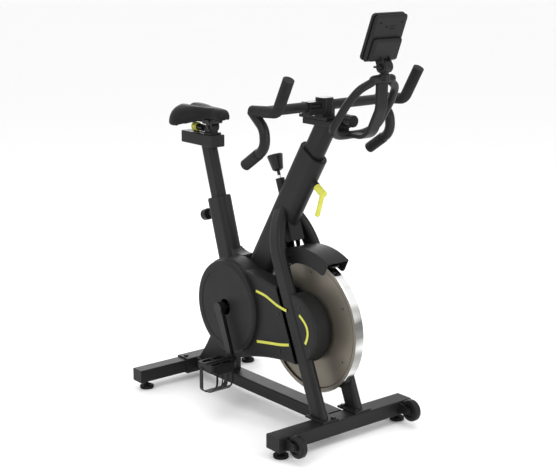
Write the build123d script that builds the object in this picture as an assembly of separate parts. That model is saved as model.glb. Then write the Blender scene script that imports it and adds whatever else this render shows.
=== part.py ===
from build123d import *
import os
from math import asin, cos, radians, sin

# Indoor spin bike. Millimetres, +X towards the rider's front, +Y to the rider's left, +Z up, floor at z = 0.
# Side-view positions below count X from the middle of the front stabiliser; ORIGIN_X moves the whole bike
# so that the origin lies under the middle of its bounding box.
ORIGIN_X = 305.41

# Base
FRONT_BEAM = (62.0, 527.0, 45.0)        # width in X, length in Y, height
REAR_BEAM = (50.0, 499.0, 43.0)
REAR_SLEEVE = (60.0, 134.0, 53.0)
REAR_X = -738.0
BEAM_Z = 50.0                           # mid-height of both stabilisers
BEAM_WALL = 3.0
CAP_THICK = 3.0
LOWER_TUBE = (60.0, 34.5, 74.5)        # width, bottom and top height
FRONT_FOOT_Y = 236.0
REAR_FOOT_Y = 215.0
FOOT_R = 23.0
STUD_R = 5.0
WHEEL_R = 34.0
WHEEL_WIDTH = 22.0
WHEEL_POS = (69.0, 229.0, 52.0)
WHEEL_PIN_R = 4.0

# Main frame: two flat-oval tubes in the middle plane
SEAT_TILT = 17.5                        # degrees back from vertical
SEAT_TOP = (-608.0, 647.0)              # top of the seat tube on its axis (X, Z)
SEAT_TUBE = (94.0, 52.0)                # outer section: in the middle plane, along Y
SEAT_TUBE_LENGTH = 404.0
SEAT_POST = (62.0, 34.0)
HEAD_TILT = 31.8                        # degrees forward from vertical
HEAD_TOP = (-135.3, 856.9)
HEAD_TUBE = (104.0, 52.0)
HEAD_TUBE_LENGTH = 720.0
HEAD_POST = (74.0, 40.0)
TUBE_WALL = 3.0
BUSH_FIT = 0.35                         # gap between a post and its bush

# Fork
LEG_Y = 69.7
LEG = (60.0, 30.0)
LEG_LEAN = 22.7
LEG_FOOT = (-20.5, 78.5)
LEG_STRAIGHT = 482.0
LEG_BEND_R = 240.0
LEG_BEND = 40.0
FOOT_PLATE = 6.0

# Drive
FLY = (-131.0, 328.0)
FLY_R = 209.5
FLY_HALF = 15.0
AXLE_R = 10.0
CRANK = (-441.0, 331.0)
CRANK_LENGTH = 170.0
CRANK_ANGLE = 22.8                      # degrees forward of straight down, right side
CRANK_Y = 128.0
CRANK_THICK = 16.0
BIG_PULLEY_R = 120.0
SMALL_PULLEY_R = 38.0
PULLEY_Y = (-48.0, -31.5)
BELT_Y = (-46.5, -33.0)
BELT_THICK = 3.0
RUN_FIT = 0.06                          # radial running clearance
BB_R = 27.0
PEDAL_Y = (142.0, 234.0)
PEDAL_AXLE_R = 7.0

# Covers and guard
COVER_R = 155.0
COVER_NOSE_R = 109.0
COVER_FACE = 88.0                       # outer face, distance from the middle plane
COVER_DISC = 106.0                      # proud disc round the crank
COVER_BACK = 30.5
COVER_WALL = 3.0
GUARD_R = 244.0
GUARD_HALF = 41.0
GUARD_WALL = 2.5

# Brake: the rod leans back and passes through the head tube to the top of the flywheel
ROD_POINT = (-293.6, 757.4)
ROD_LEAN = 20.4
ROD_R = 5.0
SHOE_R = 220.0
PAD_GAP = 6.3

# Seat
SEAT_RAIL = (-777.0, -614.0, 812.0, 851.0)      # X from, X to, Z from, Z to
RAIL_HALF = 26.0
CARRIAGE_X = -640.0
TILT_Z = 874.0
SEAT_KNOB_Z = 867.0

# Handlebar
BAR_RAIL = (-154.0, -4.0, 945.0, 963.5)
SLIDER = (-171.0, -48.0, 963.5, 973.0)
BAR_X = -85.0
BAR_Z = 1004.5
BAR_R = 15.0
BAR_END_Y = 242.0
HORN_R = 12.0
GRIP_R = 16.5

# Console
HOOP_BASE = (27.0, 931.0)
HOOP_RISE = 53.5                        # degrees up from horizontal
HOOP_R = 11.5
PIVOT = (159.0, 1135.0)
KNUCKLE_R = 18.0
CROWN_TOP = 1114.5
CONSOLE_CENTRE = (154.0, 1216.0)
CONSOLE_TILT = 21.5
CONSOLE_SIZE = (122.0, 138.0)           # width along Y, height


def at(point, y=0.0):
    """Point of the side view (X, Z) at a distance y from the middle plane."""
    return Vector(point[0], y, point[1])


def block(x, y, z):
    """Box from three (low, high) pairs."""
    size = [high - low for low, high in (x, y, z)]
    middle = [(high + low) / 2 for low, high in (x, y, z)]
    return Pos(*middle) * Box(*size)


def rod(start, end, radius):
    """Round bar between two points."""
    start, end = Vector(*start), Vector(*end)
    return extrude(Plane(origin=start, z_dir=end - start) * Circle(radius), amount=(end - start).length)


def cross_rod(point, y, radius):
    """Round bar along Y at a side-view point, from one y to another."""
    return rod(at(point, y[0]), at(point, y[1]), radius)


def both_sides(piece):
    """A piece and its mirror image in the middle plane."""
    return [piece, mirror(piece, about=Plane.XZ)]


def side_plate(sketch, y):
    """Plate with a side-view outline, between two distances from the middle plane."""
    return Pos(0, (y[0] + y[1]) / 2, 0) * extrude(Plane.XZ * sketch, amount=abs(y[1] - y[0]) / 2, both=True)


def oval_bar(top, direction, length, section):
    """Flat-oval bar in the middle plane, from its top end along a side-view direction."""
    plane = Plane(origin=at(top), x_dir=(direction[1], 0, -direction[0]), z_dir=at(direction))
    return extrude(plane * SlotOverall(*section), amount=length)


def swept_rod(path, radius):
    """Round bar along a path."""
    return sweep(Plane(origin=path @ 0, z_dir=path % 0) * Circle(radius), path=path)


def largest(shape):
    """The biggest solid of a shape."""
    return max(shape.solids(), key=lambda solid: solid.volume)


def step(point, direction, distance):
    """Side-view point at a distance along a side-view direction."""
    return (point[0] + direction[0] * distance, point[1] + direction[1] * distance)


def save(name, *pieces):
    """Write one node, moved to the bike's origin."""
    solids = [solid for piece in pieces for solid in piece.solids()]
    node = Pos(ORIGIN_X, 0, 0) * Compound(children=solids) if len(solids) > 1 else Pos(ORIGIN_X, 0, 0) * solids[0]
    export_step(node, f"parts/{name}.step")


os.makedirs("parts", exist_ok=True)

seat_up = (-sin(radians(SEAT_TILT)), cos(radians(SEAT_TILT)))
seat_down = (-seat_up[0], -seat_up[1])
seat_back = (-seat_up[1], seat_up[0])           # square to the seat tube, towards the rear
head_up = (sin(radians(HEAD_TILT)), cos(radians(HEAD_TILT)))
head_down = (-head_up[0], -head_up[1])
head_front = (head_up[1], -head_up[0])          # square to the head tube, towards the front
leg_up = (-sin(radians(LEG_LEAN)), cos(radians(LEG_LEAN)))
leg_front = (leg_up[1], -leg_up[0])
rod_down = (sin(radians(ROD_LEAN)), -cos(radians(ROD_LEAN)))
rod_up = (-rod_down[0], -rod_down[1])


# ---------------------------------------------------------------- base
def beam(size, x, y, wall, z=BEAM_Z):
    """Rectangular tube along Y with rounded long edges."""
    half_w, half_h = size[0] / 2, size[2] / 2
    tube = fillet(block((x - half_w, x + half_w), y, (z - half_h, z + half_h)).edges().filter_by(Axis.Y), 4)
    return tube - block((x - half_w + wall, x + half_w - wall), (y[0] - 1, y[1] + 1),
                        (z - half_h + wall, z + half_h - wall))


def stud_hole(x, y):
    """Hole for a levelling foot's stud."""
    return rod((x, y, 0), (x, y, BEAM_Z), STUD_R + RUN_FIT)


def end_cap(size, x, y, wall):
    """Plastic cap on the end of a beam, with a plug inside it."""
    half_w, half_h = size[0] / 2, size[2] / 2
    face = fillet(block((x - half_w, x + half_w), (y, y + CAP_THICK), (BEAM_Z - half_h, BEAM_Z + half_h))
                  .edges().filter_by(Axis.Y), 4)
    gap = wall + 0.1
    plug = block((x - half_w + gap, x + half_w - gap), (y - 10, y), (BEAM_Z - half_h + gap, BEAM_Z + half_h - gap))
    return chamfer(face.faces().sort_by(Axis.Y)[-1].edges(), 1) + plug


def foot(x, y):
    """Levelling foot: rubber pad, hexagon boss and threaded stud."""
    pad = chamfer((Pos(x, y, 5) * Cylinder(FOOT_R, 10)).edges(), 1.5)
    boss = extrude(Pos(x, y, 10) * RegularPolygon(10, 6), amount=6)
    return pad + boss + rod((x, y, 12), (x, y, 44), STUD_R)


front_half = FRONT_BEAM[1] / 2
front_stabiliser = beam(FRONT_BEAM, 0, (-front_half, front_half), BEAM_WALL)
for y in (-FRONT_FOOT_Y, FRONT_FOOT_Y):
    front_stabiliser -= stud_hole(0, y)
save("front_stabiliser", front_stabiliser)

rear_half = REAR_BEAM[1] / 2
sleeve_half = REAR_SLEEVE[1] / 2
rear_sleeve = beam(REAR_SLEEVE, REAR_X, (-sleeve_half, sleeve_half), 4.7)
rear_tube = beam(REAR_BEAM, REAR_X, (20, rear_half), BEAM_WALL) - stud_hole(REAR_X, REAR_FOOT_Y)
save("rear_stabiliser", rear_sleeve, *both_sides(rear_tube))
save("stabiliser_end_caps",
     *both_sides(end_cap(FRONT_BEAM, 0, front_half, BEAM_WALL)),
     *both_sides(end_cap(REAR_BEAM, REAR_X, rear_half, BEAM_WALL)))
for place, x, y in (("front", 0, FRONT_FOOT_Y), ("rear", REAR_X, REAR_FOOT_Y)):
    save(f"foot_{place}_left", foot(x, y))
    save(f"foot_{place}_right", foot(x, -y))

lower_half = LOWER_TUBE[0] / 2
lower_x = (REAR_X + REAR_SLEEVE[0] / 2, -FRONT_BEAM[0] / 2)
lower_tube = fillet(block(lower_x, (-lower_half, lower_half), LOWER_TUBE[1:]).edges().filter_by(Axis.X), 5)
lower_tube -= block((lower_x[0] - 1, lower_x[1] + 1), (-lower_half + 3, lower_half - 3),
                    (LOWER_TUBE[1] + 3, LOWER_TUBE[2] - 3))
save("lower_tube", lower_tube)


def wheel():
    """Transport wheel with a rounded tread and a dished hub."""
    x, y, z = WHEEL_POS
    disc = cross_rod((x, z), (y - WHEEL_WIDTH / 2, y + WHEEL_WIDTH / 2), WHEEL_R)
    disc = fillet(disc.edges(), 6)
    for low, high in ((y - 12, y - 7), (y + 7, y + 12)):
        disc -= cross_rod((x, z), (low, high), 22) - cross_rod((x, z), (low - 1, high + 1), 10)
    return disc - cross_rod((x, z), (y - 20, y + 20), WHEEL_PIN_R + RUN_FIT)


def wheel_bracket():
    """Two ears on the beam's front face and the pin that the wheel turns on."""
    x, y, z = WHEEL_POS
    ears = []
    for inner in (y - WHEEL_WIDTH / 2 - 4.5, y + WHEEL_WIDTH / 2 + 1.5):
        web = Polygon((FRONT_BEAM[0] / 2, z + 17), (FRONT_BEAM[0] / 2, z - 19), (x, z - 11), (x, z + 11), align=None)
        ears.append(side_plate(web, (inner, inner + 3)) + cross_rod((x, z), (inner, inner + 3), 11))
    pin = cross_rod((x, z), (y - WHEEL_WIDTH / 2 - 7, y + WHEEL_WIDTH / 2 + 7), WHEEL_PIN_R)
    head = cross_rod((x, z), (y + WHEEL_WIDTH / 2 + 4.5, y + WHEEL_WIDTH / 2 + 9), 7)
    nut = cross_rod((x, z), (y - WHEEL_WIDTH / 2 - 9, y - WHEEL_WIDTH / 2 - 4.5), 7)
    return ears[0] + ears[1] + pin + head + nut


save("wheel_left", wheel())
save("wheel_right", mirror(wheel(), about=Plane.XZ))
save("wheel_brackets", *both_sides(wheel_bracket()))


# ---------------------------------------------------------------- main frame
seat_outer = oval_bar(SEAT_TOP, seat_down, SEAT_TUBE_LENGTH, SEAT_TUBE)
seat_bore = (SEAT_TUBE[0] - 2 * TUBE_WALL, SEAT_TUBE[1] - 2 * TUBE_WALL)
head_outer = oval_bar(HEAD_TOP, head_down, HEAD_TUBE_LENGTH, HEAD_TUBE)
head_bore = (HEAD_TUBE[0] - 2 * TUBE_WALL, HEAD_TUBE[1] - 2 * TUBE_WALL)
bb_outer = cross_rod(CRANK, (-29, 29), BB_R)

PIN_DROP = 45.0                                 # seat pin below the seat tube's top
LEVER_DROP = 77.0                               # height lever below the head tube's top
pin_axis = step(SEAT_TOP, seat_down, PIN_DROP)
lever_axis = step(HEAD_TOP, head_down, LEVER_DROP)
pin_hole = rod(at(pin_axis), at(step(pin_axis, seat_back, 80)), 5 + RUN_FIT)
lever_hole = rod(at(lever_axis), at(step(lever_axis, head_front, 80)), 6 + RUN_FIT)
rod_hole = rod(at(step(ROD_POINT, rod_up, 60)), at(step(ROD_POINT, rod_down, 260)), 9)

seat_tube = seat_outer - oval_bar(step(SEAT_TOP, seat_up, 1), seat_down, SEAT_TUBE_LENGTH + 2, seat_bore)
pin_face = step(pin_axis, seat_back, SEAT_TUBE[0] / 2)
pin_boss = rod(at(step(pin_face, seat_back, -5)), at(step(pin_face, seat_back, 20)), 9)
seat_tube = seat_tube + pin_boss - oval_bar(SEAT_TOP, seat_down, 200, seat_bore)
save("seat_tube", largest(seat_tube - bb_outer - pin_hole))

head_tube = head_outer - oval_bar(step(HEAD_TOP, head_up, 1), head_down, HEAD_TUBE_LENGTH + 2, head_bore)
lever_face = step(lever_axis, head_front, HEAD_TUBE[0] / 2)
lever_boss = rod(at(step(lever_face, head_front, -5)), at(step(lever_face, head_front, 12)), 12)
head_tube = head_tube + lever_boss - oval_bar(HEAD_TOP, head_down, 200, head_bore)
save("head_tube", largest(head_tube - seat_outer - bb_outer - lever_hole - rod_hole))


def rear_upright():
    """Box-section foot of the frame that flares back onto the lower tube."""
    floor_z = LOWER_TUBE[2]
    outline = make_face([
        Line((-702, floor_z), (-530, floor_z)),
        ThreePointArc((-530, floor_z), (-512, 180), (-462, 262)),
        Line((-462, 262), (-505, 330)),
        Line((-505, 330), (-564, 330)),
        ThreePointArc((-564, 330), (-630, 176), (-702, floor_z)),
    ])
    box = side_plate(outline, (-25, 25)) - side_plate(offset(outline, -3), (-22, 22))
    return box - seat_outer - head_outer - bb_outer


save("rear_upright", largest(rear_upright()))


def fork_leg():
    """Left leg: a flat-oval tube that stands on the front beam and bends in to the head tube."""
    plane = Plane(origin=at(LEG_FOOT, LEG_Y), x_dir=(0, -1, 0), z_dir=(-leg_up[1], 0, leg_up[0]))
    path = plane * (Line((0, -40), (0, LEG_STRAIGHT))
                    + JernArc(start=(0, LEG_STRAIGHT), tangent=(0, 1), radius=LEG_BEND_R, arc_size=-LEG_BEND))
    start = Plane(origin=path @ 0, x_dir=at(leg_front), z_dir=at(leg_up))
    leg = sweep(start * SlotOverall(*LEG), path=path)
    leg -= sweep(start * SlotOverall(LEG[0] - 6, LEG[1] - 6), path=path)
    leg -= block((-200, 200), (0, 200), (-50, LEG_FOOT[1]))
    leg -= head_outer
    return largest(leg - cross_rod(FLY, (0, 60), AXLE_R + 0.02))


left_leg = fork_leg()
right_leg = mirror(left_leg, about=Plane.XZ)
save("fork_legs", left_leg, right_leg)
foot_plate = block((-56, 27), (34, 96), (BEAM_Z + FRONT_BEAM[2] / 2, LEG_FOOT[1]))


def cheek():
    """Gusset between the head tube's left flank and the fork leg."""
    outline = Polygon((-298, 505), (-262, 492), (-224, 516), (-232, 560), (-262, 590), (-292, 566), align=None)
    return side_plate(outline, (27, 30.5))


crotch = side_plate(make_face([
    Line((-520, 497), (-505, 491)),
    ThreePointArc((-505, 491), (-466, 484), (-432, 493)),
    Line((-432, 493), (-410, 500)),
    Line((-410, 500), (-450, 430)),
    Line((-450, 430), (-492, 430)),
    Line((-492, 430), (-520, 497)),
]), (-22, 22)) - seat_outer - head_outer
save("frame_plates", largest(crotch), *both_sides(cheek()), *both_sides(foot_plate))


def hex_head(point, axis, radius=7.5, height=5.0):
    """Hexagon bolt head that sits on a point; its shank is left out."""
    seat = Plane(origin=Vector(*point), z_dir=Vector(*axis))
    return chamfer(extrude(seat * RegularPolygon(radius, 6), amount=height).faces().sort_by(Axis.Z)[-1].edges(), 0.8)


bolts = []
for x in (-44.0, 16.0):
    bolts += both_sides(hex_head((x, 46, LEG_FOOT[1]), (0, 0, 1)))
bolts += both_sides(hex_head((REAR_X, 52, BEAM_Z + REAR_SLEEVE[2] / 2), (0, 0, 1)))


def brake_bracket():
    """Channel below the head tube that steadies the brake rod."""
    top = step(ROD_POINT, rod_down, 122)
    plane = Plane(origin=at(top), x_dir=(0, 1, 0), z_dir=at(rod_down))
    front = extrude(plane * Pos(0, 20) * Rectangle(48, 4), amount=76)
    for y in (-22, 22):
        front += extrude(plane * Pos(y, 0) * Rectangle(4, 40), amount=76)
    front += extrude(Plane(origin=at(step(top, rod_down, 20)), x_dir=(0, 1, 0), z_dir=at(rod_down))
                     * Rectangle(48, 40), amount=8)
    return front


bracket = brake_bracket()
bracket = largest(bracket - head_outer - rod_hole)

GUIDE_LENGTH = 92.0                            # guide tube on the rod, down from ROD_POINT
guide = rod(at(ROD_POINT), at(step(ROD_POINT, rod_down, GUIDE_LENGTH)), 14)
guide -= rod(at(step(ROD_POINT, rod_down, -10)), at(step(ROD_POINT, rod_down, GUIDE_LENGTH + 20)), ROD_R + RUN_FIT)
save("brake_bracket", bracket, largest(guide - head_outer))


def bush(top, down, up, outer, post, depth):
    """Plastic collar in the mouth of a tube, round the sliding post."""
    body = oval_bar(top, down, depth, (outer[0] - 0.1, outer[1] - 0.1))
    body += oval_bar(top, up, 3, (outer[0] + 2 * TUBE_WALL - 3, outer[1] + 2 * TUBE_WALL - 3))
    gap = 2 * BUSH_FIT
    return body - oval_bar(step(top, up, 10), down, depth + 20, (post[0] + gap, post[1] + gap))


save("post_bushes",
     bush(SEAT_TOP, seat_down, seat_up, seat_bore, SEAT_POST, 50) - pin_hole,
     bush(HEAD_TOP, head_down, head_up, head_bore, HEAD_POST, 50))

# ---------------------------------------------------------------- cranks, pulleys, belt and flywheel
bb_shell = bb_outer - cross_rod(CRANK, (-30, 30), 23)
cups = [cross_rod(CRANK, (low, low + 12), 23) - cross_rod(CRANK, (low - 1, low + 13), AXLE_R + RUN_FIT)
        for low in (-29, 17)]
save("bottom_bracket", bb_shell, *cups)

crank_right = (sin(radians(CRANK_ANGLE)), -cos(radians(CRANK_ANGLE)))
pedal_right = step(CRANK, crank_right, CRANK_LENGTH)
pedal_left = step(CRANK, crank_right, -CRANK_LENGTH)
arm_y = (CRANK_Y - CRANK_THICK / 2, CRANK_Y + CRANK_THICK / 2)
spindle = cross_rod(CRANK, (-CRANK_Y, CRANK_Y), AXLE_R)


def crank_arm(end, y):
    """Forged arm from the spindle to the pedal eye, on the side of y."""
    side = 1 if y[0] > 0 else -1
    hub = cross_rod(CRANK, (y[0] - side * 6, y[1]), 19)
    eye = cross_rod(end, y, 15)
    direction = ((end[0] - CRANK[0]) / CRANK_LENGTH, (end[1] - CRANK[1]) / CRANK_LENGTH)
    across = (direction[1], -direction[0])
    corners = [step(CRANK, across, 16), step(end, across, 11), step(end, across, -11), step(CRANK, across, -16)]
    web = side_plate(Polygon(*corners, align=None), (y[0] + side * 2, y[1] - side * 1))
    arm = hub + eye + web
    arm -= cross_rod(CRANK, (y[0] - side * 10, side * CRANK_Y), AXLE_R + 0.02)
    return arm - cross_rod(end, (y[0] - side * 5, side * (CRANK_Y + 12)), PEDAL_AXLE_R + 0.02)


arms = [crank_arm(pedal_right, (-arm_y[0], -arm_y[1])), crank_arm(pedal_left, arm_y)]
save("crank_arms", *arms)
save("crank_spindle_and_pedal_axles", spindle,
     cross_rod(pedal_right, (-arm_y[0] - 1, -PEDAL_Y[1] + 6), PEDAL_AXLE_R),
     cross_rod(pedal_left, (arm_y[0] + 1, PEDAL_Y[1] - 6), PEDAL_AXLE_R))


def pulley(centre, radius, bore, holes):
    """Belt pulley with two rims, a web and lightening holes."""
    wheel_body = cross_rod(centre, PULLEY_Y, radius)
    for low, high in ((PULLEY_Y[0], PULLEY_Y[0] + 1.2), (PULLEY_Y[1] - 1.2, PULLEY_Y[1])):
        wheel_body += cross_rod(centre, (low, high), radius + 4)
    for index in range(holes):
        angle = radians(360 / holes * index)
        spot = step(centre, (cos(angle), sin(angle)), radius * 0.6)
        wheel_body -= cross_rod(spot, (PULLEY_Y[0] - 1, PULLEY_Y[1] + 1), radius * 0.22)
    return wheel_body - cross_rod(centre, (PULLEY_Y[0] - 1, PULLEY_Y[1] + 1), bore)


save("crank_pulley", pulley(CRANK, BIG_PULLEY_R, AXLE_R + 0.02, 6))


def belt_outline(big, small):
    """Side-view shape round two pulleys of the given radii."""
    gap = CRANK[0] - FLY[0]
    lean = asin((big - small) / -gap)
    up, down = (sin(lean), cos(lean)), (sin(lean), -cos(lean))
    corners = [step(CRANK, up, big), step(FLY, up, small), step(FLY, down, small), step(CRANK, down, big)]
    return Polygon(*corners, align=None) + Pos(*CRANK) * Circle(big) + Pos(*FLY) * Circle(small)


belt_gap = 0.3
belt = side_plate(belt_outline(BIG_PULLEY_R + BELT_THICK, SMALL_PULLEY_R + BELT_THICK)
                  - belt_outline(BIG_PULLEY_R + belt_gap, SMALL_PULLEY_R + belt_gap), BELT_Y)
save("drive_belt", belt)


def flywheel():
    """Heavy rim, a thinner web, a raised hub and six balance holes."""
    disc = chamfer(cross_rod(FLY, (-FLY_HALF, FLY_HALF), FLY_R).edges(), 1.5)
    for low, high in ((-FLY_HALF - 1, -FLY_HALF + 5), (FLY_HALF - 5, FLY_HALF + 1)):
        disc -= cross_rod(FLY, (low, high), 195)
    disc += cross_rod(FLY, (-22, 22), 34)
    for index in range(6):
        angle = radians(30 + 60 * index)
        disc -= cross_rod(step(FLY, (cos(angle), sin(angle)), 166), (-20, 20), 3)
    return disc - cross_rod(FLY, (-23, 23), 17.5)


save("flywheel", flywheel())
bearing = cross_rod(FLY, (10, 22), 17.5) - cross_rod(FLY, (9, 23), AXLE_R + RUN_FIT)
small_pulley = pulley(FLY, SMALL_PULLEY_R, AXLE_R + 3, 0)
small_pulley += cross_rod(FLY, (PULLEY_Y[1], -22), 26) - cross_rod(FLY, (PULLEY_Y[1] - 1, -21), AXLE_R + 3)
save("flywheel_pulley", small_pulley, *both_sides(bearing))
axle = cross_rod(FLY, (-62, 62), AXLE_R)
for low, high in ((-LEG_Y + 15.3, -50), (26, LEG_Y - 15.3)):
    axle += cross_rod(FLY, (low, high), 14)
save("flywheel_axle", axle)


def pedal(end, y):
    """Platform pedal: two side plates, cross bars and a barrel round its axle."""
    low, high = min(y), max(y)
    x, z = end
    body = block((x - 40, x + 40), (low, high), (z - 10, z + 10))
    body = fillet(body.edges().filter_by(Axis.Z), 8)
    for x_low, x_high in ((x - 33, x - 16), (x + 16, x + 33)):
        body -= block((x_low, x_high), (low + 8, (low + high) / 2 - 3), (z - 20, z + 20))
        body -= block((x_low, x_high), ((low + high) / 2 + 3, high - 8), (z - 20, z + 20))
    body += cross_rod(end, (low, high), 13)
    return body - cross_rod(end, (low - 1, high - 4) if y[1] > 0 else (low + 4, high + 1), PEDAL_AXLE_R + RUN_FIT)


def toe_cage(end, y):
    """Toe clip and strap, hanging below the pedal: a curved plate with windows and a thin loop."""
    low, high = min(y), max(y)
    middle = (low + high) / 2
    x, z = end
    outline = make_face([
        Line((x + 43.3, z + 8), (x + 43.3, z - 34)),
        ThreePointArc((x + 43.3, z - 34), (x + 29, z - 72), (x - 6, z - 88)),
        Line((x - 6, z - 88), (x - 6, z - 85)),
        ThreePointArc((x - 6, z - 85), (x + 27, z - 70), (x + 40.3, z - 34)),
        Line((x + 40.3, z - 34), (x + 40.3, z + 8)),
        Line((x + 40.3, z + 8), (x + 43.3, z + 8)),
    ])
    clip = side_plate(outline, (middle - 33, middle + 33))
    for y_low in (middle - 27, middle - 8, middle + 11):
        clip -= block((x + 10, x + 60), (y_low, y_low + 16), (z - 66, z - 18))
    loop = Pos(middle, z - 40) * (RectangleRounded(98, 98, 20) - RectangleRounded(93, 93, 17.5))
    strap = extrude(Plane(origin=(x - 26, 0, 0), x_dir=(0, 1, 0), z_dir=(1, 0, 0)) * loop, amount=16)
    return clip, largest(strap - block((x - 60, x + 60), (low - 20, high + 20), (z - 6, z + 60)))


for side, end, y in (("right", pedal_right, (-PEDAL_Y[0], -PEDAL_Y[1])), ("left", pedal_left, PEDAL_Y)):
    save(f"pedal_{side}", pedal(end, y), *toe_cage(end, y))

# ---------------------------------------------------------------- covers and guard
leg_gap = LEG[0] / 2 + 1.5


def beside_leg(side):
    """Very large block on the rear (-1) or front (+1) side of the fork leg's edge."""
    edge = step(LEG_FOOT, leg_front, side * leg_gap)
    plane = Plane(origin=at(step(edge, leg_front, side * 500)), x_dir=at(leg_front), z_dir=at(leg_up))
    return extrude(plane * Rectangle(1000, 1000), amount=1200, both=True)


def cover_outline(inset=0.0):
    """Side view of the belt cover: a disc, a nose round the flywheel's axle and a waisted panel between them."""
    panel = make_face([
        Line((-400, 468 - inset), (-131, 436 - inset)),
        Line((-131, 436 - inset), (-131, 220 + inset)),
        ThreePointArc((-131, 220 + inset), (-253, 206 + inset), (-372, 176 + inset)),
        Line((-372, 176 + inset), (-400, 468 - inset)),
    ])
    return panel + Pos(*CRANK) * Circle(COVER_R - inset) + Pos(*FLY) * Circle(COVER_NOSE_R - inset)


def cover_shell():
    """Belt cover before it is parted at the fork leg."""
    outer = side_plate(cover_outline(), (-COVER_FACE, -COVER_BACK))
    outer = fillet(outer.faces().sort_by(Axis.Y)[0].edges(), 7)
    disc = cross_rod(CRANK, (-COVER_DISC, -60), COVER_R - 5)
    disc = fillet(disc.faces().sort_by(Axis.Y)[0].edges(), 12)
    inner = side_plate(cover_outline(COVER_WALL), (-COVER_FACE + 8, 0))
    inner += side_plate(cover_outline(8), (-COVER_FACE + COVER_WALL, 0))
    inner += cross_rod(CRANK, (-COVER_DISC + 12, -60), COVER_R - 11)
    inner += cross_rod(CRANK, (-COVER_DISC + COVER_WALL, -60), COVER_R - 18)
    dish = cross_rod(CRANK, (-COVER_DISC - 1, -COVER_DISC + 1.2), COVER_R - 32)
    return outer + disc - inner - dish - cross_rod(CRANK, (-200, 0), 26)


rear_screws = [(-198.0, 360.0), (-186.0, 244.0), (-350.0, 208.0)]
front_screws = [(-96.0, 403.0), (-48.0, 284.0)]
shell = cover_shell()
for spot in rear_screws + front_screws:
    shell += cross_rod(spot, (-COVER_FACE + 1, -COVER_BACK), 6)
    shell -= cross_rod(spot, (-COVER_FACE - 30, -COVER_BACK + 1), 2.6)
    shell -= cross_rod(spot, (-COVER_FACE - 30, -COVER_FACE + 1.5), 5.2)
rear_cover = largest(shell & beside_leg(-1))
save("drive_cover_front", largest(shell & beside_leg(1)))

inner_cover = side_plate(cover_outline(), (-COVER_BACK, -28.0))
inner_cover -= cross_rod(CRANK, (-60, 0), 31) + cross_rod(FLY, (-60, 0), 46)
save("drive_cover_rear", rear_cover, inner_cover)

screws = []
for spot in rear_screws + front_screws:
    face = -COVER_FACE + 1.5
    screws.append(cross_rod(spot, (face, face - 2.6), 5) + cross_rod(spot, (face, -COVER_BACK - 0.1), 2.5))
left_screws = [step(CRANK, (cos(radians(a)), sin(radians(a))), 84) for a in (75, 195, 300)]
for spot in left_screws:
    screws.append(cross_rod(spot, (46.6, 49), 4.5))
save("fasteners", *bolts, *screws)

left_cover = cross_rod(CRANK, (27.5, 46.5), 105)
left_cover = fillet(left_cover.faces().sort_by(Axis.Y)[-1].edges(), 8)
left_cover -= cross_rod(CRANK, (20, 43.5), 96) + cross_rod(CRANK, (0, 60), 13) + cross_rod(CRANK, (0, 36), 102)
save("left_cover", left_cover)


def ring_sector(centre, inner, outer, start, end, y):
    """Part of a flat ring in the side view, between two angles."""
    def spot(radius, angle):
        return step(centre, (cos(radians(angle)), sin(radians(angle))), radius)
    middle = (start + end) / 2
    outline = make_face([
        ThreePointArc(spot(outer, start), spot(outer, middle), spot(outer, end)),
        Line(spot(outer, end), spot(inner, end)),
        ThreePointArc(spot(inner, end), spot(inner, middle), spot(inner, start)),
        Line(spot(inner, start), spot(outer, start)),
    ])
    return side_plate(outline, y)


GUARD_ANGLES = (63.0, 112.0)
guard = ring_sector(FLY, GUARD_R - GUARD_WALL, GUARD_R, *GUARD_ANGLES, (-GUARD_HALF, GUARD_HALF))
for y in ((-GUARD_HALF, -GUARD_HALF + GUARD_WALL), (GUARD_HALF - GUARD_WALL, GUARD_HALF)):
    flange = ring_sector(FLY, 195, GUARD_R, *GUARD_ANGLES, y)
    guard += fillet(flange.edges().filter_by(Axis.Y).sort_by(lambda edge: (edge.center() - at(FLY)).length)[:2], 14)
lug = step(FLY, (cos(radians(109)), sin(radians(109))), 222)
for y in ((-LEG_Y + 15.2, -GUARD_HALF), (GUARD_HALF, LEG_Y - 15.2)):
    guard += cross_rod(lug, y, 9)
guard -= rod(at(step(ROD_POINT, rod_down, 100)), at(step(ROD_POINT, rod_down, 300)), 12)
save("flywheel_guard", largest(guard - left_leg - right_leg))

# ---------------------------------------------------------------- brake
SHOE_ANGLES = (64.0, 110.0)
shoe = ring_sector(FLY, SHOE_R, SHOE_R + 6, *SHOE_ANGLES, (-13, 13))
foot_end = step(ROD_POINT, rod_down, 232)
socket = rod(at(step(ROD_POINT, rod_down, 206)), at(foot_end), 9)
socket -= rod(at(step(ROD_POINT, rod_down, 190)), at(step(ROD_POINT, rod_down, 222)), ROD_R + RUN_FIT)
shoe = (shoe + socket) - cross_rod(FLY, (-20, 20), FLY_R + PAD_GAP + 1) \
    - rod(at(step(ROD_POINT, rod_down, 190)), at(step(ROD_POINT, rod_down, 222)), ROD_R + RUN_FIT)
save("brake_shoe", largest(shoe), ring_sector(FLY, FLY_R + PAD_GAP, SHOE_R, 66, 100, (-12, 12)))

knob_profile = make_face([
    Line((0, -9), (10, -9)),
    Line((10, -9), (17, -4)),
    Line((17, -4), (24.5, 38)),
    ThreePointArc((24.5, 38), (23, 42), (19, 43)),
    Line((19, 43), (0, 44)),
    Line((0, 44), (0, -9)),
])
knob_plane = Plane(origin=at(step(ROD_POINT, rod_up, 32)), x_dir=(0, 1, 0), z_dir=at(rod_up))
knob = knob_plane * revolve(Plane.XZ * knob_profile, axis=Axis.Z)
for index in range(8):
    angle = radians(45 * index)
    knob -= extrude(knob_plane * Pos(25.5 * cos(angle), 25.5 * sin(angle)) * Circle(3.6), amount=46)
save("brake_knob", knob + rod(at(step(ROD_POINT, rod_up, 30)), at(step(ROD_POINT, rod_down, 221)), ROD_R))

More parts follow.
